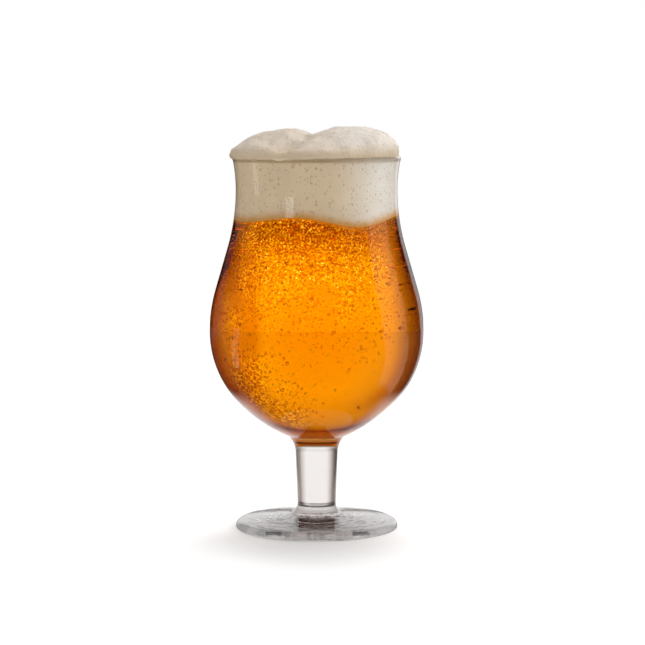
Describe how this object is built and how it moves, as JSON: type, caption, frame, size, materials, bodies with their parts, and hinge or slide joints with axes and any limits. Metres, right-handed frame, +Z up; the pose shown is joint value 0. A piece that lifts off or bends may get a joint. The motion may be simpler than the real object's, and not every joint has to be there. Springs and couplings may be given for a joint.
{
  "type": "tulip beer glass",
  "caption": "Clear stemmed tulip glass with a round foot, a full-bellied bowl and a flared lip, filled with amber beer under a mounded head of foam.",
  "frame": {"origin": "centre of the plane that the foot rests on", "axes": "+Z up along the axis of the glass, -Y towards the viewer, +X to the viewer's right"},
  "size_m": [0.088, 0.088, 0.1657],
  "materials": {
    "clear_glass": "polished",
    "amber_beer": "polished",
    "cream_foam": "matte"
  },
  "bodies": {
    "root": {"glass": "clear_glass", "beer": "amber_beer", "foam_head": "cream_foam"}
  },
  "joints": []
}
